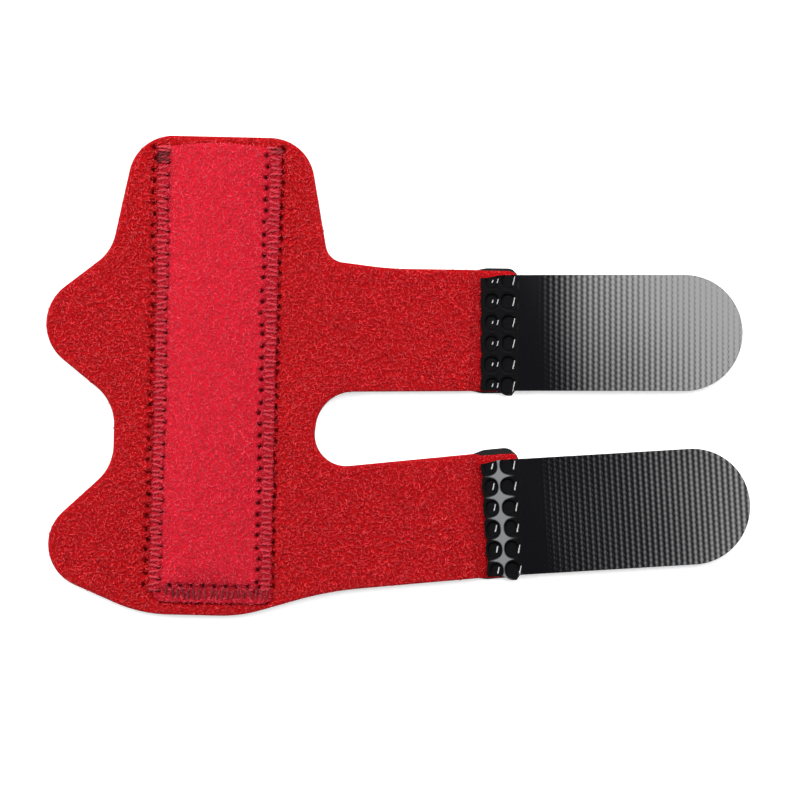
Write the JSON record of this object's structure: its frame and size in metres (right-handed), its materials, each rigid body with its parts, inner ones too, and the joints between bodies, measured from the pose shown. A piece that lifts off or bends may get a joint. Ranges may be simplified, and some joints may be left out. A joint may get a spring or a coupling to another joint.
{
  "type": "finger splint",
  "caption": "Soft finger splint laid open: die-cut loop fabric on foam, with a sewn stay pocket up the middle and hook tabs welded to its bands.",
  "frame": {"origin": "middle of the whole outline, on the surface that the splint lies on", "axes": "+X along the upper band towards the hook tabs' tips, +Y up the pocket towards the fingertip (the pocket leans 1.35 degrees towards +X), +Z out of the loop face"},
  "size_m": [0.1214, 0.0828, 0.0055],
  "materials": {
    "foam": "black closed-cell foam with a fine knit skin",
    "loop_fabric": "red brushed nylon loop",
    "pocket_felt": "pinkish red velour felt",
    "hook_tape": "black woven nylon hook tape, ribbed back with a satin sheen"
  },
  "bodies": {
    "root": {"foam_backing": "foam", "loop_face": "loop_fabric", "stay_pocket": "pocket_felt", "hook_tab_upper": "hook_tape", "hook_tab_lower": "hook_tape"}
  },
  "joints": []
}
